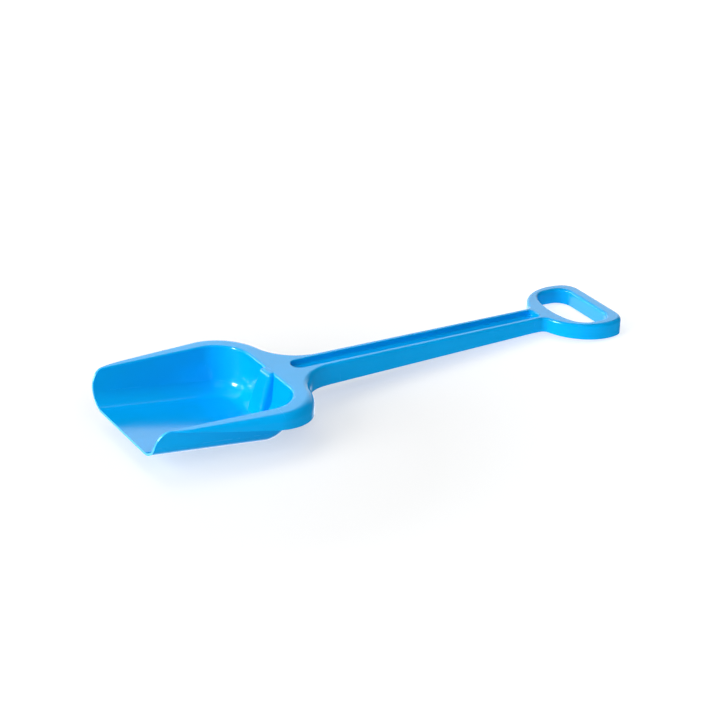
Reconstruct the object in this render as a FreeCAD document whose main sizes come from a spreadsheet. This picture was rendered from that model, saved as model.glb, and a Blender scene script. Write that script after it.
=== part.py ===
import FreeCAD, Part
import math
import os

DOC = FreeCAD.newDocument("snow_shovel")

# Driving sizes in millimetres and degrees. Working frame: X runs from the scoop to the grip's
# end, Y to the left, Z up, with the flush top of rim, neck, handle and grip in the plane Z = 0.
SIZES = [
    ("overall_len", 497.6, "outer face of the grip along X"),
    ("lip_x", 1.8, "lip of the scoop's floor along X"),
    ("rim_start_x", 14.0, "where the side wall's swept front edge reaches the rim"),
    ("skirt_start_x", 12.0, "where the skirt starts behind the lip"),
    ("sweep_depth", 18.0, "depth below the rim where the swept front edge turns upright"),
    ("flare_end_x", 30.0, "where the rim has grown out of the side wall to its full width"),
    ("flare_rad", 75.0, "plan radius with which the rim grows out of the side wall"),
    ("rim_front_half", 69.9, "half width over the rim at the end of the flare"),
    ("rim_corner_rad", 45.6, "plan radius of the rim's back corners"),
    ("rim_corner_x", 112.6, "centre of the rim's back corners along X"),
    ("rim_corner_y", 34.7, "centre of the rim's back corners along Y"),
    ("neck_rad", 40.0, "plan radius where the rim necks down to the handle"),
    ("shaft_half_neck", 12.8, "half width of the handle at the neck"),
    ("shaft_half_grip", 12.2, "half width of the handle at the grip"),
    ("grip_rad", 47.0, "outer plan radius of the grip"),
    ("grip_x", 472.7, "centre of the grip's outer arc along X"),
    ("grip_root_rad", 7.0, "concave plan radius between handle and grip"),
    ("grip_corner_rad", 17.5, "plan radius at the ends of the grip bar"),
    ("rim_round_front", 2.2, "rounding of the outer top edge at the front of the rim"),
    ("rim_round", 7.5, "rounding of the outer top edge at the rim's back corners"),
    ("shaft_round", 2.4, "rounding of the outer top edge along the handle"),
    ("grip_round", 4.0, "rounding of the grip's outer top edge"),
    ("hole_round", 2.8, "rounding of the grip opening's top edge"),
    ("skirt_draft", 2.5, "draft of the outer skirt in degrees"),
    ("skirt_wall", 2.6, "wall and top plate of rim, neck, handle and grip"),
    ("hollow_bevel", 3.0, "bevel inside the hollow, under the rounded outer edge"),
    ("skirt_knee_x", 105.0, "where the skirt's lower edge starts to level off"),
    ("skirt_depth_knee", 12.4, "skirt depth where its lower edge starts to level off"),
    ("skirt_full_x", 190.0, "where the skirt reaches its full depth"),
    ("skirt_depth_neck", 19.4, "skirt depth at the neck"),
    ("skirt_depth_grip", 13.3, "skirt depth where handle meets grip"),
    ("skirt_blend", 60.0, "radius between the stretches of the skirt's lower edge"),
    ("grip_depth", 16.0, "depth of the grip"),
    ("mouth_front_half", 62.3, "half width of the scoop's mouth at the rim's start"),
    ("mouth_back_half", 64.6, "half width of the scoop's mouth at its back corners"),
    ("mouth_corner_x", 111.0, "centre of the mouth's back corners along X"),
    ("mouth_corner_rad", 32.0, "plan radius of the mouth's back corners"),
    ("mouth_back_x", 140.5, "back wall of the scoop at the mouth"),
    ("side_draft", 20.0, "flare of the side walls in degrees"),
    ("back_draft", 5.0, "flare of the back wall in degrees"),
    ("base_corner_rad", 24.0, "plan radius of the back corners 50 mm down"),
    ("floor_front_depth", 27.5, "inside depth of the floor at the lip"),
    ("floor_slope", 6.0, "fall of the floor towards the back in degrees"),
    ("floor_blend", 18.0, "inside radius between floor and walls"),
    ("scoop_wall", 2.2, "wall of the scoop"),
    ("mouth_round", 2.0, "rounding of the mouth's edge"),
    ("seam_height", 13.0, "height of the floor piece up the walls"),
    ("boss_half", 9.0, "half width of the throat boss at the top"),
    ("boss_front_x", 136.0, "front of the throat boss at the top"),
    ("boss_rake", 15.0, "rake of the throat boss's front in degrees"),
    ("boss_draft", 3.0, "draft of the throat boss's sides in degrees"),
    ("boss_round", 4.0, "rounding of the throat boss"),
    ("groove_start_x", 163.0, "front end of the handle's groove"),
    ("groove_end_x", 425.0, "back end of the handle's groove"),
    ("groove_half", 7.8, "half width of the groove"),
    ("groove_depth", 5.6, "depth of the groove"),
    ("groove_round", 1.0, "rounding of the groove's edge"),
    ("groove_corner_rad", 4.0, "plan radius of the groove's corners at the grip"),
    ("groove_base_round", 1.6, "rounding between the groove's floor and walls"),
    ("groove_wall", 2.2, "wall round the groove"),
    ("hole_front_x", 442.3, "front of the grip opening"),
    ("hole_back_x", 484.4, "grip opening's straight side, the bar's inner face"),
    ("hole_half", 36.4, "half width of the grip opening"),
    ("hole_front_rad", 75.0, "plan radius of the opening's front"),
    ("hole_side_rad", 19.0, "plan radius of the opening's sides"),
    ("hole_corner_rad", 12.0, "plan radius at the ends of the straight side"),
    ("hole_draft", 1.6, "how much wider the grip opening is at its lower edge"),
    ("rib_wall", 1.8, "thickness of the stiffening ribs"),
    ("rib_drop", 13.0, "depth of the ribs' lower edge below the top"),
    ("rib_pitch", 28.0, "spacing of the handle's ribs"),
    ("rib_start_x", 215.0, "first rib of the handle"),
    ("neck_join_x", 205.0, "end of the neck plate"),
    ("grip_join_x", 415.0, "end of the handle's straight pieces"),
    ("trough_half", 9.5, "half width of the handle's centre piece"),
    ("crown_end_x", 449.0, "end of the grip's crown piece"),
    ("bar_start_x", 474.0, "start of the grip bar piece"),
]
HANDLE_RIBS = 8
GRIP_BAR_RIBS = (-24.0, -8.0, 8.0, 24.0)
DEPTH = 50.0
HULL_DEPTH = 60.0
BOSS_DEPTH = 45.0
BODY_FRONT_X = -5.0
OPENING_DEPTH = 20.5


def fill_sheet():
    """Put every driving size into the spreadsheet and give its cell an alias."""
    sheet = DOC.addObject("Spreadsheet::Sheet", "Dimensions")
    for row, (alias, value, note) in enumerate(SIZES, start=1):
        sheet.set("A%d" % row, alias)
        sheet.set("B%d" % row, repr(value))
        sheet.set("C%d" % row, note)
        sheet.setAlias("B%d" % row, alias)
    DOC.recompute()
    return sheet


SHEET = fill_sheet()


def size(alias):
    """Value of one driving size."""
    return float(SHEET.get(alias))


def tan_deg(angle):
    return math.tan(math.radians(angle))


def vec(x, y, z=0.0):
    return FreeCAD.Vector(x, y, z)


def unit(x, y):
    length = math.hypot(x, y)
    return (x / length, y / length)


# ---------------------------------------------------------------- plan outlines


class Outline:
    """Half a plan outline of tangent lines and arcs, mirrored in Y and closed at the front."""

    def __init__(self, front):
        self.front = front
        self.path = []

    def line(self, target):
        self.path.append(("line", target, None, None))

    def arc(self, target, centre, radius):
        self.path.append(("arc", target, centre, radius))

    def edges(self, z):
        """Edges from the front point round the +Y half, then the mirrored half back."""
        upper = self._half(z, 1.0)
        lower = self._half(z, -1.0)
        back_a = upper[-1][1]
        back_b = lower[-1][1]
        edges = [piece[2] for piece in upper]
        if (back_a - back_b).Length > 1e-6:
            edges.append(Part.makeLine(back_a, back_b))
        edges += [piece[2] for piece in reversed(lower)]
        front_a = upper[0][0]
        front_b = lower[0][0]
        if (front_a - front_b).Length > 1e-6:
            edges.append(Part.makeLine(front_b, front_a))
        return edges

    def wire(self, z):
        return Part.Wire(Part.__sortEdges__(self.edges(z)))

    def _half(self, z, side):
        pieces = []
        here = self.front
        for kind, target, centre, radius in self.path:
            start = vec(here[0], side * here[1], z)
            end = vec(target[0], side * target[1], z)
            if kind == "line":
                edge = Part.makeLine(start, end)
            else:
                edge = Part.Arc(start, self._middle(here, target, centre, radius, side, z), end).toShape()
            pieces.append((start, end, edge))
            here = target
        return pieces

    @staticmethod
    def _middle(a, b, centre, radius, side, z):
        ua = unit(a[0] - centre[0], a[1] - centre[1])
        ub = unit(b[0] - centre[0], b[1] - centre[1])
        um = unit(ua[0] + ub[0], ua[1] + ub[1])
        return vec(centre[0] + radius * um[0], side * (centre[1] + radius * um[1]), z)


def meet_circle(start, direction, centre, reach, last):
    """Point on a line at a given distance from a centre: the last or the first of the two."""
    dx = start[0] - centre[0]
    dy = start[1] - centre[1]
    along = dx * direction[0] + dy * direction[1]
    root = math.sqrt(along * along - (dx * dx + dy * dy - reach * reach))
    step = -along + root if last else -along - root
    return (start[0] + step * direction[0], start[1] + step * direction[1])


def tangent_normal(point, centre, radius):
    """Outward normal of the line from a point that touches a circle on its +Y side."""
    dx = centre[0] - point[0]
    dy = centre[1] - point[1]
    reach = math.hypot(dx, dy)
    angle = math.atan2(dy, dx) + math.asin(radius / reach)
    return (-math.sin(angle), math.cos(angle))


def body_outline(inset):
    """Outline of rim, neck, handle and grip together, moved inwards by inset."""
    length = size("overall_len")
    corner = (size("rim_corner_x"), size("rim_corner_y"))
    corner_rad = size("rim_corner_rad")
    flare_end = (size("flare_end_x"), size("rim_front_half"))
    flare_rad = size("flare_rad")
    n_rim = tangent_normal(flare_end, corner, corner_rad)
    flare = (flare_end[0] - flare_rad * n_rim[0], flare_end[1] - flare_rad * n_rim[1])

    neck_x = size("neck_join_x")
    grip_join = size("grip_join_x")
    shaft = (neck_x, size("shaft_half_neck"))
    u_shaft = unit(grip_join - neck_x, size("shaft_half_grip") - size("shaft_half_neck"))
    n_shaft = (-u_shaft[1], u_shaft[0])
    neck_rad = size("neck_rad")
    lifted = (shaft[0] + neck_rad * n_shaft[0], shaft[1] + neck_rad * n_shaft[1])
    neck = meet_circle(lifted, u_shaft, corner, corner_rad + neck_rad, True)
    to_neck = unit(neck[0] - corner[0], neck[1] - corner[1])

    grip = (size("grip_x"), 0.0)
    grip_rad = size("grip_rad")
    root_rad = size("grip_root_rad")
    lifted = (shaft[0] + root_rad * n_shaft[0], shaft[1] + root_rad * n_shaft[1])
    root = meet_circle(lifted, u_shaft, grip, grip_rad + root_rad, False)
    to_grip = unit(grip[0] - root[0], grip[1] - root[1])

    end_rad = size("grip_corner_rad")
    end_x = length - end_rad
    end = (end_x, math.sqrt((grip_rad - end_rad) ** 2 - (end_x - grip[0]) ** 2))
    to_end = unit(end[0] - grip[0], end[1] - grip[1])

    def offset(centre, direction, reach):
        return (centre[0] + reach * direction[0], centre[1] + reach * direction[1])

    front_rise = math.sqrt((flare_rad - inset) ** 2 - (BODY_FRONT_X - flare[0]) ** 2)
    outline = Outline((BODY_FRONT_X, flare[1] + front_rise))
    outline.arc(offset(flare, n_rim, flare_rad - inset), flare, flare_rad - inset)
    outline.line(offset(corner, n_rim, corner_rad - inset))
    outline.arc(offset(corner, to_neck, corner_rad - inset), corner, corner_rad - inset)
    outline.arc(offset(neck, n_shaft, -neck_rad - inset), neck, neck_rad + inset)
    outline.line(offset(root, n_shaft, -root_rad - inset))
    outline.arc(offset(root, to_grip, root_rad + inset), root, root_rad + inset)
    outline.arc(offset(grip, to_end, grip_rad - inset), grip, grip_rad - inset)
    outline.arc((length - inset, end[1]), end, end_rad - inset)
    return outline


def mouth_outline(depth, wall):
    """Outline of the scoop's mouth at a depth below the rim, moved outwards by a wall."""
    share = depth / DEPTH
    side_in = depth * tan_deg(size("side_draft"))
    back_in = depth * tan_deg(size("back_draft"))
    radius = size("mouth_corner_rad") + share * (size("base_corner_rad") - size("mouth_corner_rad"))
    run = size("mouth_corner_x") - size("rim_start_x")
    u_side = unit(run, size("mouth_back_half") - size("mouth_front_half"))
    n_side = (-u_side[1], u_side[0])
    back = size("mouth_back_x") - back_in
    half = size("mouth_back_half") - side_in
    corner = (back - radius, half - radius)
    touch = (corner[0] + (radius + wall) * n_side[0], corner[1] + (radius + wall) * n_side[1])
    lead = (touch[0] - 4.0 + 20.0) / u_side[0]
    front = (touch[0] - lead * u_side[0], touch[1] - lead * u_side[1])
    outline = Outline(front)
    outline.line(touch)
    outline.arc((back + wall, corner[1]), corner, radius + wall)
    return outline


def hole_outline(inset):
    """Outline of the grip opening, made smaller by inset."""
    front_x = size("hole_front_x")
    back_x = size("hole_back_x")
    half = size("hole_half")
    front_rad = size("hole_front_rad")
    side_rad = size("hole_side_rad")
    corner_rad = size("hole_corner_rad")
    big = (front_x + front_rad, 0.0)
    side_y = half - side_rad
    side = (big[0] - math.sqrt((front_rad - side_rad) ** 2 - side_y ** 2), side_y)
    corner = (back_x - corner_rad, half - corner_rad)
    to_side = unit(side[0] - big[0], side[1] - big[1])
    outline = Outline((front_x + inset, 0.0))
    reach = front_rad - inset
    outline.arc((big[0] + reach * to_side[0], big[1] + reach * to_side[1]), big, reach)
    outline.arc((side[0], half - inset), side, side_rad - inset)
    outline.line((corner[0], half - inset))
    outline.arc((back_x - inset, corner[1]), corner, corner_rad - inset)
    return outline


def groove_outline(inset):
    """Outline of the handle's groove: round at the neck, squarer at the grip."""
    half = size("groove_half") - inset
    start = size("groove_start_x") + inset
    end = size("groove_end_x") - inset
    corner = size("groove_corner_rad")
    outline = Outline((start, 0.0))
    outline.arc((start + half, half), (start + half, 0.0), half)
    outline.line((end - corner, half))
    outline.arc((end, half - corner), (end - corner, half - corner), corner)
    return outline


def loft(top, bottom, z_top, z_bottom):
    """Ruled solid between two outlines."""
    return Part.makeLoft([top.wire(z_top), bottom.wire(z_bottom)], True, True)


# ---------------------------------------------------------------- shared solids


def edges_where(shape, test):
    """Edges whose two ends and middle all pass a test on a point."""
    picked = []
    for edge in shape.Edges:
        ends = [vertex.Point for vertex in edge.Vertexes]
        first, last = edge.ParameterRange
        ends.append(edge.valueAt(0.5 * (first + last)))
        if all(test(point) for point in ends):
            picked.append(edge)
    return picked


def side_prism(profile_edges):
    """Solid from a closed profile in the XZ plane, 240 mm wide across Y."""
    face = Part.Face(Part.Wire(Part.__sortEdges__(profile_edges)))
    return face.extrude(vec(0.0, 240.0, 0.0))


def polyline(points):
    """Edges of an open polyline in the plane Y = -120."""
    edges = []
    for (xa, za), (xb, zb) in zip(points[:-1], points[1:]):
        edges.append(Part.makeLine(vec(xa, -120.0, za), vec(xb, -120.0, zb)))
    return edges


def under_profile():
    """Everything below the lower edge of skirt, handle and grip."""
    start = size("skirt_start_x")
    rise = size("skirt_depth_knee") / (size("skirt_knee_x") - start)
    knees = [
        (size("skirt_knee_x"), -size("skirt_depth_knee")),
        (size("skirt_full_x"), -size("skirt_depth_neck")),
        (size("grip_join_x"), -size("skirt_depth_grip")),
    ]
    points = [
        (-10.0, rise * (start + 10.0)),
        knees[0],
        knees[1],
        knees[2],
        (size("overall_len") + 20.0, -size("grip_depth")),
        (size("overall_len") + 20.0, -70.0),
        (-10.0, -70.0),
        (-10.0, rise * (start + 10.0)),
    ]
    prism = side_prism(polyline(points))

    def at_knee(point):
        return any(math.hypot(point.x - x, point.z - z) < 1e-4 for x, z in knees)

    return prism.makeFillet(size("skirt_blend"), edges_where(prism, at_knee))


def front_cutter():
    """Everything ahead of the lip and of the swept front edge of the side walls."""
    lip = size("lip_x")
    rim = size("rim_start_x")
    drop = size("sweep_depth")
    ellipse = Part.Ellipse(vec(rim, -120.0, 0.0), vec(lip, -120.0, -drop), vec(rim, -120.0, -drop))
    edges = [ellipse.toShape(0.0, 0.5 * math.pi)]
    edges += polyline([(lip, -drop), (lip, -70.0), (-40.0, -70.0), (-40.0, 10.0), (rim, 10.0), (rim, 0.0)])
    return side_prism(edges)


def floor_plane_box(lift):
    """Half space above the sloping floor; lift moves it up along its normal."""
    box = Part.makeBox(260.0, 240.0, 120.0, vec(-60.0, -120.0, 0.0))
    box.translate(vec(0.0, 0.0, lift))
    slope = size("floor_slope")
    box.rotate(vec(0.0, 0.0, 0.0), vec(0.0, 1.0, 0.0), slope)
    box.translate(vec(0.0, 0.0, -size("floor_front_depth")))
    return box


def scoop_solid(wall, top):
    """Solid of the scoop's inside, or of its outside when a wall is given, with a rounded base."""
    hull = loft(mouth_outline(-top, wall), mouth_outline(HULL_DEPTH, wall), top, -HULL_DEPTH)
    solid = hull.common(floor_plane_box(-wall))
    slope = math.radians(size("floor_slope"))
    front_x = min(vertex.X for vertex in solid.Vertexes)

    def on_floor(point):
        height = (point.z + size("floor_front_depth")) * math.cos(slope) + point.x * math.sin(slope)
        return abs(height + wall) < 1e-3

    def reaches_back(edge):
        return max(vertex.X for vertex in edge.Vertexes) - front_x > 1.0

    base = [edge for edge in edges_where(solid, on_floor) if reaches_back(edge)]
    return solid.makeFillet(size("floor_blend") + wall, base)


def scoop_shell(outside, inside):
    """Walls and floor of the scoop with a rounded mouth."""
    shell = outside.cut(inside)
    skin = Part.makeCompound(inside.Faces)

    def at_mouth(point):
        if abs(point.z) > 1e-4 or point.x < -15.9:
            return False
        return skin.distToShape(Part.Vertex(point))[0] < 1e-3

    mouth = edges_where(shell, at_mouth)
    return shell.makeFillet(size("mouth_round"), mouth)


def opening_block(wall):
    """Block of the grip opening, grown outwards by a wall; it widens downwards."""
    lower = hole_outline(-wall - size("hole_draft"))
    return loft(hole_outline(-wall), lower, 0.5, -OPENING_DEPTH)


def groove_cutter():
    """Cutter for the handle's groove, with rounded lower edges."""
    depth = size("groove_depth")
    cutter = loft(groove_outline(0.0), groove_outline(0.3), 0.5, -depth)
    base = edges_where(cutter, lambda point: abs(point.z + depth) < 1e-4)
    return cutter.makeFillet(size("groove_base_round"), base)


def rounding_at(x, part):
    """Radius of the outer top edge at a place along X."""
    if part == "rim":
        start = size("flare_end_x")
        share = (x - start) / (size("rim_corner_x") - start)
        radius = size("rim_round_front") + share * (size("rim_round") - size("rim_round_front"))
        return max(1.0, min(size("rim_round"), radius))
    return size("shaft_round") if x < size("grip_join_x") + 22.0 else size("grip_round")


def outer_radii(edge):
    """Radii of the outer top edge at an edge's two ends, or None if the edge isn't rounded."""
    first, last = edge.ParameterRange
    ends = [edge.valueAt(first), edge.valueAt(last)]
    middle = edge.valueAt(0.5 * (first + last))
    if max(ends[0].x, ends[1].x) < size("rim_start_x") and abs(middle.y) < 1.0:
        return None
    radii = []
    for end in ends:
        on_rim = end.x < size("neck_join_x") - 2.0 and abs(end.y) > size("shaft_half_neck") + 2.0
        radii.append(rounding_at(end.x, "rim" if on_rim else "shaft"))
    return radii


def round_edges(name, shape, choose):
    """Round the edges that choose() gives two radii for, as a Part::Fillet of the document."""
    base = DOC.addObject("Part::Feature", name + "_blank")
    base.Shape = shape
    fillet = DOC.addObject("Part::Fillet", name)
    fillet.Base = base
    picked = []
    for index, edge in enumerate(shape.Edges, start=1):
        radii = choose(edge)
        if radii is not None:
            picked.append((index, radii[0], radii[1]))
    fillet.Edges = picked
    DOC.recompute()
    if fillet.Shape.isNull() or not fillet.Shape.isValid():
        raise RuntimeError("%s could not be rounded" % name)
    return fillet.Shape.copy()


def lies_flat(edge, z):
    """True if an edge lies in the plane at height z."""
    first, last = edge.ParameterRange
    points = [edge.valueAt(first), edge.valueAt(0.5 * (first + last)), edge.valueAt(last)]
    return all(abs(point.z - z) < 1e-4 for point in points)


def envelope(groove, hole):
    """Rim, neck, handle and grip as one solid block with its groove, opening and rounded edges."""
    spread = DEPTH * tan_deg(size("skirt_draft"))
    block = loft(body_outline(0.0), body_outline(-spread), 0.0, -DEPTH)

    def outer_edge(edge):
        return outer_radii(edge) if lies_flat(edge, 0.0) else None

    block = round_edges("envelope_rounded", block, outer_edge)
    block = block.cut(hole)
    hole_start = size("hole_front_x") - 1.0
    hole_end = size("hole_back_x") + 1.0
    hole_half = size("hole_half") + 0.5

    def by_hole(point):
        return abs(point.z) < 1e-4 and hole_start < point.x < hole_end and abs(point.y) < hole_half

    block = block.makeFillet(size("hole_round"), edges_where(block, by_hole))
    block = block.cut(groove)
    groove_half = size("groove_half") + 0.3
    groove_start = size("groove_start_x") - 0.5
    groove_end = size("groove_end_x") + 0.5

    def by_groove(point):
        return abs(point.z) < 1e-4 and groove_start < point.x < groove_end and abs(point.y) < groove_half

    return block.makeFillet(size("groove_round"), edges_where(block, by_groove))


def hollow_space(outside, under):
    """Space under the top plate: inside the skirt and outside scoop, groove trough and grip opening."""
    wall = size("skirt_wall")
    bevel = size("hollow_bevel")
    widen = tan_deg(size("skirt_draft"))
    shoulder = body_outline(wall - bevel * widen)
    space = loft(body_outline(wall + bevel), shoulder, -wall, -wall - bevel)
    space = space.fuse(loft(shoulder, body_outline(wall - DEPTH * widen), -wall - bevel, -wall - DEPTH))
    trough_wall = size("groove_wall")
    trough_depth = size("groove_depth") + trough_wall
    trough = loft(groove_outline(-trough_wall), groove_outline(0.3 - trough_wall), 0.5, -trough_depth)
    ring = opening_block(wall)
    space = space.cut(trough).cut(ring).cut(outside)
    return space.cut(under)


# ---------------------------------------------------------------- document features


def keep(name, shape):
    """Hold a shared solid as a document object."""
    feature = DOC.addObject("Part::Feature", name)
    feature.Shape = shape
    return feature


def region(name, x_low, x_high, y_low, y_high):
    """Box bound to the sheet that bounds one piece; limits are sheet expressions or numbers."""
    box = DOC.addObject("Part::Box", name)
    box.setExpression("Placement.Base.x", x_low)
    box.setExpression("Placement.Base.y", y_low)
    box.Placement.Base.z = -70.0
    box.setExpression("Length", "(%s) - (%s)" % (x_high, x_low))
    box.setExpression("Width", "(%s) - (%s)" % (y_high, y_low))
    box.Height = 80.0
    return box


def common(name, base, tool):
    piece = DOC.addObject("Part::Common", name)
    piece.Base = base
    piece.Tool = tool
    return piece


def cut(name, base, tool):
    piece = DOC.addObject("Part::Cut", name)
    piece.Base = base
    piece.Tool = tool
    return piece


def ref(alias):
    return "Dimensions.%s" % alias


def boss_block():
    """Raked and rounded block of the throat boss, to be trimmed by the scoop."""
    rake = BOSS_DEPTH * tan_deg(size("boss_rake"))
    widen = BOSS_DEPTH * tan_deg(size("boss_draft"))
    front = size("boss_front_x")
    half = size("boss_half")
    back = size("mouth_back_x") + 3.0

    def section(x_low, y_half, z):
        corners = [vec(x_low, -y_half, z), vec(back, -y_half, z), vec(back, y_half, z), vec(x_low, y_half, z)]
        return Part.makePolygon(corners + corners[:1])

    lower = section(front - rake, half + widen, -BOSS_DEPTH)
    block = Part.makeLoft([section(front, half, 0.0), lower], True, True)

    def is_rounded(edge):
        ends = [vertex.Point for vertex in edge.Vertexes]
        on_top = all(abs(point.z) < 1e-4 for point in ends)
        upright = abs(ends[0].z - ends[1].z) > 1.0
        reaches_front = min(point.x for point in ends) < back - 1e-3
        return reaches_front and (on_top or upright)

    return block.makeFillet(size("boss_round"), [edge for edge in block.Edges if is_rounded(edge)])


def rib_box(name, x_low, x_wide, y_low, y_wide, z_low):
    """One rib blank, bound to the sheet; the hollow space trims it to the walls."""
    box = DOC.addObject("Part::Box", name)
    box.setExpression("Placement.Base.x", x_low)
    box.setExpression("Placement.Base.y", y_low)
    box.setExpression("Placement.Base.z", z_low)
    box.setExpression("Length", x_wide)
    box.setExpression("Width", y_wide)
    box.Height = 40.0
    return box


def rib_node(name, blanks, space):
    """Ribs of one group, trimmed to the space between the walls."""
    blank = DOC.addObject("Part::Compound", name + "_blanks")
    blank.Links = blanks
    return common(name, space, blank)


def across(name, x_mid):
    """Cross rib blank at a place along X."""
    wall = ref("rib_wall")
    return rib_box(name, "%s - 0.5 * %s" % (x_mid, wall), wall, "-80", "160", "-%s" % ref("rib_drop"))


def along(name, x_low, x_high, y_mid):
    """Lengthwise rib blank at a place across Y."""
    wall = ref("rib_wall")
    y_low = "%s - 0.5 * %s" % (y_mid, wall)
    return rib_box(name, x_low, "(%s) - (%s)" % (x_high, x_low), y_low, wall, "-%s" % ref("rib_drop"))


def build_shared():
    """Shared solids that the pieces are cut from."""
    inside = scoop_solid(0.0, 1.0)
    outside = scoop_solid(size("scoop_wall"), 0.0)
    front = front_cutter()
    under = under_profile()
    shell = scoop_shell(outside, inside)
    solid = envelope(groove_cutter(), opening_block(0.0))
    space = hollow_space(outside, under)
    skirted = solid.cut(outside).cut(under).cut(space).cut(front)
    boss = boss_block().common(outside).cut(shell)
    above = floor_plane_box(size("seam_height") - size("scoop_wall"))
    return {
        "shell": keep("scoop_shell_solid", shell.cut(front)),
        "skirted": keep("skirted_solid", skirted),
        "space": keep("hollow_space_solid", space),
        "boss": keep("boss_solid", boss),
        "above": keep("above_floor_solid", above),
    }


def build_scoop(shared):
    """Floor, side walls, back wall and throat boss of the scoop."""
    corner_x = ref("mouth_corner_x")
    walls = common("scoop_walls_blank", shared["shell"], shared["above"])
    left = region("scoop_left_region", "-50", corner_x, "0", "100")
    right = region("scoop_right_region", "-50", corner_x, "-100", "0")
    back = region("scoop_back_region", corner_x, "160", "-100", "100")
    everything = region("boss_region", "0", "160", "-30", "30")
    return [
        cut("scoop_floor", shared["shell"], shared["above"]),
        common("scoop_wall_left", walls, left),
        common("scoop_wall_right", walls, right),
        common("scoop_back_wall", walls, back),
        common("throat_boss", shared["boss"], everything),
    ]


def build_skirted(shared):
    """Rims, neck plate, handle pieces and grip pieces, cut from the skirted solid."""
    corner_x = ref("mouth_corner_x")
    neck_x = ref("neck_join_x")
    grip_x = ref("grip_join_x")
    crown_x = ref("crown_end_x")
    bar_x = ref("bar_start_x")
    trough = ref("trough_half")
    limits = [
        ("rim_left", "-50", corner_x, "0", "100"),
        ("rim_right", "-50", corner_x, "-100", "0"),
        ("neck_plate", corner_x, neck_x, "-100", "100"),
        ("handle_trough", neck_x, grip_x, "-" + trough, trough),
        ("handle_side_left", neck_x, grip_x, trough, "60"),
        ("handle_side_right", neck_x, grip_x, "-60", "-" + trough),
        ("grip_crown", grip_x, crown_x, "-60", "60"),
        ("grip_side_left", crown_x, bar_x, "0", "60"),
        ("grip_side_right", crown_x, bar_x, "-60", "0"),
        ("grip_bar", bar_x, "540", "-60", "60"),
    ]
    pieces = []
    for name, x_low, x_high, y_low, y_high in limits:
        box = region(name + "_region", x_low, x_high, y_low, y_high)
        pieces.append(common(name, shared["skirted"], box))
    return pieces


def build_ribs(shared):
    """Stiffening ribs under the neck, the handle and the grip bar."""
    neck = [across("neck_cross_rib", "168"), along("neck_centre_rib", "140", ref("neck_join_x"), "0")]
    neck += [along("neck_side_rib_a", "120", "165", "28"), along("neck_side_rib_b", "120", "165", "-28")]
    handle = []
    for number in range(HANDLE_RIBS):
        place = "%s + %d * %s" % (ref("rib_start_x"), number, ref("rib_pitch"))
        handle.append(across("handle_rib_%d" % (number + 1), place))
    bar = []
    for number, y_mid in enumerate(GRIP_BAR_RIBS, start=1):
        bar.append(along("bar_rib_%d" % number, ref("hole_back_x"), ref("overall_len"), "%g" % y_mid))
    return [
        rib_node("neck_ribs", neck, shared["space"]),
        rib_node("handle_ribs", handle, shared["space"]),
        rib_node("grip_bar_ribs", bar, shared["space"]),
    ]


def rest_tilt():
    """Angle at which the scoop's heel and the grip's end both touch the ground."""
    wall = size("scoop_wall")
    blend = size("floor_blend") + wall
    slope = math.radians(size("floor_slope"))
    flare = math.radians(size("back_draft"))
    floor_gap = size("floor_blend") / math.cos(slope)
    wall_gap = size("floor_blend") / math.cos(flare)
    heel_x = 0.0
    heel_z = 0.0
    for _ in range(20):
        heel_z = floor_gap - size("floor_front_depth") - heel_x * math.tan(slope)
        heel_x = size("mouth_back_x") + heel_z * math.tan(flare) - wall_gap
    grip_x = size("overall_len") + size("grip_depth") * tan_deg(size("skirt_draft"))
    low, high = 0.0, 0.3
    for _ in range(60):
        angle = 0.5 * (low + high)
        heel = heel_z * math.cos(angle) - heel_x * math.sin(angle) - blend
        grip = -size("grip_depth") * math.cos(angle) - grip_x * math.sin(angle)
        if heel < grip:
            low = angle
        else:
            high = angle
    return math.degrees(0.5 * (low + high))


def rest_placement(pieces):
    """Placement that rests the shovel on Z = 0 with the origin under the middle of its box."""
    turn = FreeCAD.Rotation(vec(0.0, 1.0, 0.0), rest_tilt())
    turned = FreeCAD.Placement(vec(0.0, 0.0, 0.0), turn)
    boxes = []
    for piece in pieces:
        shape = piece.Shape.copy()
        shape.Placement = turned.multiply(shape.Placement)
        boxes.append(shape.optimalBoundingBox(False, False))
    x_mid = 0.5 * (min(box.XMin for box in boxes) + max(box.XMax for box in boxes))
    z_low = min(box.ZMin for box in boxes)
    return FreeCAD.Placement(vec(-x_mid, 0.0, -z_low), turn)


def check(pieces):
    """Stop if an object failed or a piece is missing, invalid or empty."""
    for feature in DOC.Objects:
        if "Invalid" in feature.State or "Error" in feature.State:
            raise RuntimeError("%s is %s" % (feature.Name, feature.State))
    for piece in pieces:
        shape = piece.Shape
        if shape.isNull() or not shape.isValid() or shape.Volume < 1.0:
            raise RuntimeError("%s has no valid shape" % piece.Label)


def main():
    shared = build_shared()
    pieces = build_scoop(shared) + build_skirted(shared) + build_ribs(shared)
    DOC.recompute()
    placement = rest_placement(pieces)
    for piece in pieces:
        piece.Label = piece.Name
        piece.Placement = placement
    DOC.recompute()
    check(pieces)
    os.makedirs("parts", exist_ok=True)
    for piece in pieces:
        piece.Shape.exportStep("parts/%s.step" % piece.Label)
        box = piece.Shape.BoundBox
        print("%-18s %d solid(s) %8.0f mm3  z %.1f..%.1f" % (
            piece.Label, len(piece.Shape.Solids), piece.Shape.Volume, box.ZMin, box.ZMax))
    print("tilt %.3f deg" % rest_tilt())


main()
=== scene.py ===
import math

import bpy
from bpy.props import FloatProperty, FloatVectorProperty, PointerProperty
from mathutils import Matrix, Vector

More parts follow.
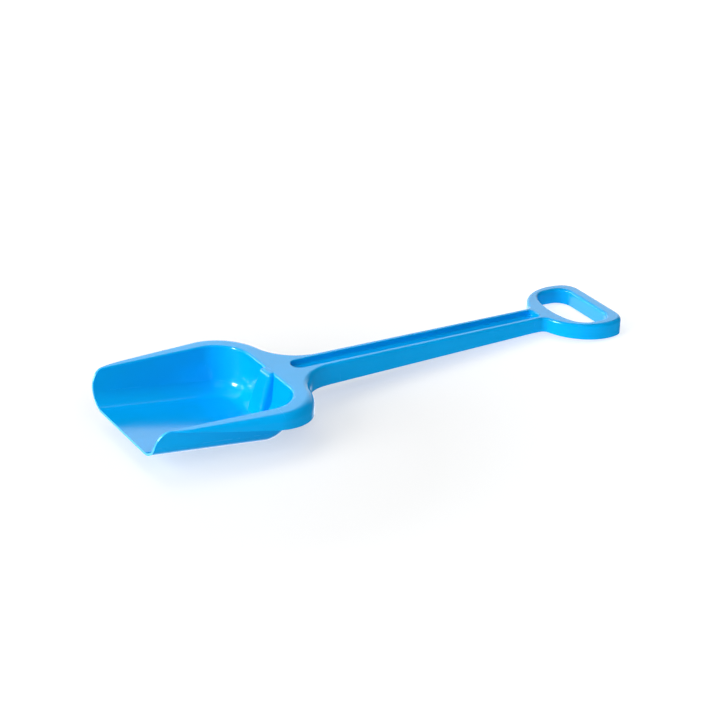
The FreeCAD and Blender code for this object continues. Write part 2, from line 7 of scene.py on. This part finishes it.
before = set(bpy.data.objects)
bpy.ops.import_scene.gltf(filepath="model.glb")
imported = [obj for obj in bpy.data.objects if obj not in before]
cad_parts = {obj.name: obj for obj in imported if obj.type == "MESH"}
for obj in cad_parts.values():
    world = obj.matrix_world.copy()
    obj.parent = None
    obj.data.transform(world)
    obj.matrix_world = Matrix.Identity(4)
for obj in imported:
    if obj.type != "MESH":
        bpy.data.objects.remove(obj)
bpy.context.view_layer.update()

bl_info = {
    "name": "Moulded Shovel",
    "version": (1, 0, 0),
    "blender": (4, 5, 0),
    "location": "3D View > Sidebar > Shovel",
    "description": "Finishes and stages a child's moulded plastic shovel around its packed frame",
    "category": "Object",
}

PLASTIC_IOR = 1.49
WORN_EDGE_WIDTH = 0.0012
# Centre and reach of the painted shadow on the floor: the floor's glow is lowest at this centre and rises
# to full glow by the far end of the reach.
PAINTED_SHADE_CENTRE = (-0.15, -0.05, 0.0)
PAINTED_SHADE_REACH = (0.15, 0.65)
BACKDROP_EDGE = (0.25, 0.7)
UNLIT_ROOM = 0.05
SENSOR_WIDTH = 36.0
# Name, setting with the power, place, size, and whether it lights surfaces and is mirrored in them.
SOFTBOXES = [
    ("overhead_softbox", "overhead_light", (-0.6, 0.45, 2.1), (1.3, 1.3), True, False),
    ("side_softbox", "side_light", (-2.0, -0.1, 0.95), (1.4, 1.4), True, False),
    ("front_fill", "front_light", (-0.3, -1.6, 1.8), (1.2, 1.2), True, False),
    ("key_panel", "key_light", (-1.74, -0.25, 1.2), (0.5, 0.35), False, True),
    ("left_panel", "panel_light", (-1.7, 1.9, 0.45), (1.6, 0.9), False, True),
]
MOULDED_NODES = [
    "scoop_floor", "scoop_wall_left", "scoop_wall_right", "scoop_back_wall", "throat_boss",
    "rim_left", "rim_right", "neck_plate", "handle_trough", "handle_side_left", "handle_side_right",
    "grip_crown", "grip_side_left", "grip_side_right", "grip_bar",
    "neck_ribs", "handle_ribs", "grip_bar_ribs",
]


# ---------------------------------------------------------------- settings


class ShovelPlasticSettings(bpy.types.PropertyGroup):
    """Colour and finish of the moulded plastic."""

    colour: FloatVectorProperty(
        name="Blue",
        description="Body colour of the plastic",
        subtype="COLOR", size=3, min=0.0, max=1.0, default=(0.0, 0.41, 0.92),
    )
    roughness: FloatProperty(
        name="Roughness",
        description="Roughness of a clean moulded face",
        default=0.13, min=0.0, max=1.0,
    )
    specular: FloatProperty(
        name="Specular level",
        description="Strength of the clear reflection",
        default=0.5, min=0.0, max=1.0,
    )
    gloss_colour: FloatVectorProperty(
        name="Gloss colour",
        description="Colour of the reflection on faces seen square on",
        subtype="COLOR", size=3, min=0.0, max=1.0, default=(0.6, 0.88, 1.0),
    )
    flow_size: FloatProperty(
        name="Flow mark size",
        description="Length of the faint flow marks from the neck",
        default=0.05, min=0.005, max=0.5, unit="LENGTH",
    )
    flow_strength: FloatProperty(
        name="Flow mark strength",
        description="How much the flow marks shift the colour",
        default=0.05, min=0.0, max=0.5, subtype="FACTOR",
    )
    scuff_strength: FloatProperty(
        name="Scuff strength",
        description="How far edges are rubbed dull",
        default=0.25, min=0.0, max=1.0, subtype="FACTOR",
    )
    ripple_height: FloatProperty(
        name="Ripple height",
        description="Height of the moulded surface's fine ripple",
        default=0.00003, min=0.0, max=0.001, precision=6, unit="LENGTH",
    )


class ShovelStageSettings(bpy.types.PropertyGroup):
    """Floor, lights and camera."""

    floor_size: FloatProperty(
        name="Floor size",
        description="Width of the floor",
        default=40.0, unit="LENGTH",
    )
    floor_colour: FloatVectorProperty(
        name="Floor colour",
        description="Pale colour of the floor",
        subtype="COLOR", size=3, min=0.0, max=1.0, default=(0.45, 0.44, 0.42),
    )
    # Painted light: the floor glows in this colour though it is no lamp, and the tint also colours its
    # shadows.
    painted_light_colour: FloatVectorProperty(
        name="Glow colour",
        description="Colour of the light table's own light",
        subtype="COLOR", size=3, min=0.0, max=1.0, default=(0.95, 0.97, 1.0),
    )
    # Painted shade: the floor's glow next to the shovel, kept low there to darken its shadows; further
    # out the glow rises to full.
    painted_shade_glow: FloatProperty(
        name="Floor glow",
        description="Strength of the table's own light by the shovel",
        default=0.58, min=0.0, max=5.0,
    )
    backdrop_light: FloatProperty(
        name="Backdrop light",
        description="Brightness of the backdrop mirrored in the plastic",
        default=1.9, min=0.0, max=10.0,
    )
    room_light: FloatProperty(
        name="Room light",
        description="Even light from the room's pale walls",
        default=0.14, min=0.0, max=10.0,
    )
    overhead_light: FloatProperty(
        name="Overhead light",
        description="Power of the large overhead softbox in watts",
        default=13.0, min=0.0,
    )
    side_light: FloatProperty(
        name="Side light",
        description="Power of the softbox ahead of the scoop in watts",
        default=47.0, min=0.0,
    )
    front_light: FloatProperty(
        name="Front light",
        description="Power of the soft fill from the front in watts",
        default=12.0, min=0.0,
    )
    key_light: FloatProperty(
        name="Key light",
        description="Power of the small panel mirrored as highlights, in watts",
        default=60.0, min=0.0,
    )
    panel_light: FloatProperty(
        name="Panel light",
        description="Power of the wide panel mirrored in the back wall, in watts",
        default=28.0, min=0.0,
    )
    view_turn: FloatProperty(
        name="View turn",
        description="Turn of the view from the shovel's length",
        default=math.radians(58.247), unit="ROTATION",
    )
    view_rise: FloatProperty(
        name="View rise",
        description="Height of the view above level",
        default=math.radians(27.609), unit="ROTATION",
    )
    view_roll: FloatProperty(
        name="View roll",
        description="Roll of the camera",
        default=math.radians(-0.047), unit="ROTATION",
    )
    view_aside: FloatProperty(
        name="View aside",
        description="Sideways offset of the shovel in the view",
        default=0.021424, unit="LENGTH",
    )
    view_below: FloatProperty(
        name="View below",
        description="Downward offset of the shovel in the view",
        default=0.026182, unit="LENGTH",
    )
    distance: FloatProperty(
        name="Distance",
        description="Distance of the camera from the shovel",
        default=1.8595, unit="LENGTH",
    )
    lens: FloatProperty(
        name="Lens",
        description="Focal length in millimetres",
        default=107.18,
    )


def settings(name):
    return getattr(bpy.context.scene, name)


# ---------------------------------------------------------------- materials


def new_node(tree, kind, place, **values):
    """Node of a kind at a place, with the named inputs set."""
    node = tree.nodes.new(kind)
    node.location = place
    for key, value in values.items():
        node.inputs[key.replace("_", " ")].default_value = value
    return node


def noise(tree, place, vector, scale, detail=2.0):
    node = new_node(tree, "ShaderNodeTexNoise", place, Scale=scale, Detail=detail)
    tree.links.new(vector, node.inputs["Vector"])
    return node.outputs["Fac"]


def map_range(tree, place, value, low, high, to_low, to_high):
    """Clamped linear remap of a value."""
    node = new_node(tree, "ShaderNodeMapRange", place)
    for socket, number in zip(node.inputs[1:5], (low, high, to_low, to_high)):
        socket.default_value = number
    tree.links.new(value, node.inputs["Value"])
    return node.outputs["Result"]


def stretched_coords(tree, place, coords, stretch):
    """Object coordinates scaled along each axis."""
    node = tree.nodes.new("ShaderNodeMapping")
    node.location = place
    node.inputs["Scale"].default_value = stretch
    tree.links.new(coords, node.inputs["Vector"])
    return node.outputs["Vector"]


def math_node(tree, place, operation, first, second):
    node = tree.nodes.new("ShaderNodeMath")
    node.operation = operation
    node.location = place
    for socket, value in zip(node.inputs, (first, second)):
        if isinstance(value, float):
            socket.default_value = value
        else:
            tree.links.new(value, socket)
    return node.outputs["Value"]


def moulded_plastic():
    """Glossy blue polypropylene: faint flow marks, rubbed edges, fine ripple and handling scratches."""
    look = settings("shovel_plastic")
    material = bpy.data.materials.new("moulded_plastic")
    material.use_nodes = True
    tree = material.node_tree
    tree.nodes.clear()
    output = new_node(tree, "ShaderNodeOutputMaterial", (900, 0))
    shader = new_node(tree, "ShaderNodeBsdfPrincipled", (600, 0))
    tree.links.new(shader.outputs["BSDF"], output.inputs["Surface"])
    shader.inputs["IOR"].default_value = PLASTIC_IOR
    shader.inputs["Specular IOR Level"].default_value = look.specular
    shader.inputs["Specular Tint"].default_value = (*look.gloss_colour, 1.0)
    coords = tree.nodes.new("ShaderNodeTexCoord")
    coords.location = (-1200, 0)
    place = coords.outputs["Object"]

    along = stretched_coords(tree, (-1000, 300), place, (0.35, 1.0, 1.0))
    flow = noise(tree, (-800, 300), along, 1.0 / look.flow_size, 3.0)
    darker, lighter = 1.0 - look.flow_strength, 1.0 + look.flow_strength
    shade = map_range(tree, (-600, 300), flow, 0.35, 0.65, darker, lighter)

    wear = new_node(tree, "ShaderNodeBevel", (-1000, -300), Radius=WORN_EDGE_WIDTH)
    wear.samples = 4
    geometry = tree.nodes.new("ShaderNodeNewGeometry")
    geometry.location = (-1000, -500)
    turn = tree.nodes.new("ShaderNodeVectorMath")
    turn.operation = "DOT_PRODUCT"
    turn.location = (-800, -350)
    tree.links.new(wear.outputs["Normal"], turn.inputs[0])
    tree.links.new(geometry.outputs["Normal"], turn.inputs[1])
    edge = map_range(tree, (-600, -350), turn.outputs["Value"], 0.75, 0.99, 1.0, 0.0)
    patch = noise(tree, (-800, -550), place, 60.0, 3.0)
    patchy = map_range(tree, (-600, -550), patch, 0.4, 0.65, 0.0, look.scuff_strength)
    rubbed = math_node(tree, (-400, -450), "MULTIPLY", edge, patchy)

    paler = math_node(tree, (-300, 50), "MULTIPLY", rubbed, 0.25)
    brightness = math_node(tree, (-200, 200), "ADD", shade, paler)
    colour = tree.nodes.new("ShaderNodeVectorMath")
    colour.operation = "SCALE"
    colour.location = (0, 200)
    colour.inputs[0].default_value = look.colour
    tree.links.new(brightness, colour.inputs["Scale"])
    tree.links.new(colour.outputs["Vector"], shader.inputs["Base Color"])

    lengthwise = stretched_coords(tree, (-1000, -800), place, (0.06, 1.0, 1.0))
    scratches = noise(tree, (-800, -800), lengthwise, 900.0)
    haze = noise(tree, (-800, -1000), place, 35.0, 4.0)
    low, high = look.roughness * 0.85, look.roughness * 1.2
    dull = map_range(tree, (-600, -1000), haze, 0.3, 0.7, low, high)
    scored = map_range(tree, (-600, -800), scratches, 0.68, 0.8, 0.0, 0.06)
    dull = math_node(tree, (-300, -900), "ADD", dull, scored)
    dull = math_node(tree, (-100, -900), "ADD", dull, rubbed)
    tree.links.new(dull, shader.inputs["Roughness"])

    ripple = noise(tree, (-800, -1250), place, 220.0, 2.0)
    bump = new_node(tree, "ShaderNodeBump", (300, -600), Distance=look.ripple_height, Strength=1.0)
    tree.links.new(ripple, bump.inputs["Height"])
    tree.links.new(bump.outputs["Normal"], shader.inputs["Normal"])
    return material


def floor_material():
    """Matt pale table that glows as painted light, dimmest round the scoop as a painted shadow and rising
    to full glow away from it.
    """
    stage = settings("shovel_stage")
    material = bpy.data.materials.new("studio_floor")
    material.use_nodes = True
    tree = material.node_tree
    shader = tree.nodes["Principled BSDF"]
    shader.inputs["Base Color"].default_value = (*stage.floor_colour, 1.0)
    shader.inputs["Roughness"].default_value = 0.9
    shader.inputs["Specular IOR Level"].default_value = 0.05
    # The floor glows, which is painted light, not a lamp.
    shader.inputs["Emission Color"].default_value = (*stage.painted_light_colour, 1.0)
    coords = tree.nodes.new("ShaderNodeTexCoord")
    reach = tree.nodes.new("ShaderNodeVectorMath")
    reach.operation = "DISTANCE"
    reach.inputs[1].default_value = PAINTED_SHADE_CENTRE
    tree.links.new(coords.outputs["Object"], reach.inputs[0])
    # Painted shadow: the glow is dimmest within the near reach of the scoop and rises to full glow beyond
    # the far reach.
    near, far = PAINTED_SHADE_REACH
    glow = map_range(tree, (-300, -300), reach.outputs["Value"], near, far, stage.painted_shade_glow, 1.0)
    tree.links.new(glow, shader.inputs["Emission Strength"])
    return material


# ---------------------------------------------------------------- operators


class ShovelFinishMoulding(bpy.types.Operator):
    """Give every moulded piece its plastic."""

    bl_idname = "shovel.finish_moulding"
    bl_label = "Finish the moulding"

    def execute(self, context):
        material = moulded_plastic()
        for name in MOULDED_NODES:
            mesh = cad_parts[name].data
            mesh.materials.clear()
            mesh.materials.append(material)
        return {"FINISHED"}


def add_softbox(name, power, place, size, lights, mirrored):
    """Rectangular softbox at a place, facing the middle of the shovel."""
    data = bpy.data.lights.new(name, "AREA")
    data.shape = "RECTANGLE"
    data.size, data.size_y = size
    data.energy = power
    light = bpy.data.objects.new(name, data)
    light.location = place
    light.rotation_euler = (-Vector(place)).to_track_quat("-Z", "Y").to_euler()
    light.visible_camera = False
    light.visible_diffuse = lights
    light.visible_glossy = mirrored
    bpy.context.scene.collection.objects.link(light)


class ShovelBuildStage(bpy.types.Operator):
    """Build the pale floor with its painted light and shadow, the studio lights and the camera."""

    bl_idname = "shovel.build_stage"
    bl_label = "Build the stage"

    def execute(self, context):
        stage = settings("shovel_stage")
        self.add_floor(stage)
        self.add_room(stage)
        self.add_lights(stage)
        self.add_camera(stage)
        return {"FINISHED"}

    @staticmethod
    def add_floor(stage):
        half = 0.5 * stage.floor_size
        mesh = bpy.data.meshes.new("studio_floor")
        corners = [(-half, -half, 0.0), (half, -half, 0.0), (half, half, 0.0), (-half, half, 0.0)]
        mesh.from_pydata(corners, [], [(0, 1, 2, 3)])
        mesh.materials.append(floor_material())
        floor = bpy.data.objects.new("studio_floor", mesh)
        bpy.context.scene.collection.objects.link(floor)
        floor.visible_glossy = False

    @staticmethod
    def add_room(stage):
        """Even pale walls as light, and a bright backdrop behind the shovel for the plastic to mirror."""
        world = bpy.data.worlds.new("studio")
        bpy.context.scene.world = world
        world.use_nodes = True
        tree = world.node_tree
        room = tree.nodes["Background"]
        room.inputs["Color"].default_value = (0.95, 0.97, 1.0, 1.0)
        coords = tree.nodes.new("ShaderNodeTexCoord")
        facing = tree.nodes.new("ShaderNodeVectorMath")
        facing.operation = "DOT_PRODUCT"
        facing.inputs[1].default_value = (0.0, 1.0, 0.0)
        tree.links.new(coords.outputs["Generated"], facing.inputs[0])
        low, high = BACKDROP_EDGE
        mirrored = map_range(
            tree, (0, 0), facing.outputs["Value"], low, high, UNLIT_ROOM, stage.backdrop_light)
        path = tree.nodes.new("ShaderNodeLightPath")
        mix = tree.nodes.new("ShaderNodeMix")
        tree.links.new(path.outputs["Is Glossy Ray"], mix.inputs["Factor"])
        mix.inputs["A"].default_value = stage.room_light
        tree.links.new(mirrored, mix.inputs["B"])
        backdrop = math_node(
            tree, (200, 0), "MAXIMUM", mix.outputs["Result"], path.outputs["Is Camera Ray"])
        tree.links.new(backdrop, room.inputs["Strength"])

    @staticmethod
    def add_lights(stage):
        for name, setting, place, size, lights, mirrored in SOFTBOXES:
            add_softbox(name, getattr(stage, setting), place, size, lights, mirrored)

    @staticmethod
    def add_camera(stage):
        turn, rise, roll = stage.view_turn, stage.view_rise, stage.view_roll
        look = Vector((math.cos(turn) * math.cos(rise), math.sin(turn) * math.cos(rise), -math.sin(rise)))
        level = Vector((math.sin(turn), -math.cos(turn), 0.0))
        below = look.cross(level)
        side = math.cos(roll) * level + math.sin(roll) * below
        lower = math.cos(roll) * below - math.sin(roll) * level
        place = -stage.distance * look - stage.view_aside * side - stage.view_below * lower
        data = bpy.data.cameras.new("studio_camera")
        data.lens = stage.lens
        data.sensor_width = SENSOR_WIDTH
        camera = bpy.data.objects.new("studio_camera", data)
        turned = Matrix((side, -lower, -look)).transposed().to_4x4()
        camera.matrix_world = Matrix.Translation(place) @ turned
        bpy.context.scene.collection.objects.link(camera)
        bpy.context.scene.camera = camera


class ShovelPanel(bpy.types.Panel):
    """Sizes, colours and steps of the moulded shovel."""

    bl_idname = "SHOVEL_PT_main"
    bl_label = "Moulded shovel"
    bl_space_type = "VIEW_3D"
    bl_region_type = "UI"
    bl_category = "Shovel"

    def draw(self, context):
        layout = self.layout
        for group in SETTINGS:
            box = layout.box()
            values = getattr(context.scene, group)
            for name in values.__annotations__:
                box.prop(values, name)
        for step in STEPS:
            layout.operator(step.bl_idname)


SETTINGS = {"shovel_plastic": ShovelPlasticSettings, "shovel_stage": ShovelStageSettings}
STEPS = (ShovelFinishMoulding, ShovelBuildStage)
CLASSES = tuple(SETTINGS.values()) + STEPS + (ShovelPanel,)


def register():
    for cls in CLASSES:
        bpy.utils.register_class(cls)
    for name, group in SETTINGS.items():
        setattr(bpy.types.Scene, name, PointerProperty(type=group))


def unregister():
    for name in SETTINGS:
        delattr(bpy.types.Scene, name)
    for cls in reversed(CLASSES):
        bpy.utils.unregister_class(cls)


def main():
    register()
    bpy.context.scene.view_settings.view_transform = "Standard"
    bpy.ops.shovel.finish_moulding()
    bpy.ops.shovel.build_stage()


if __name__ == "__main__":
    main()
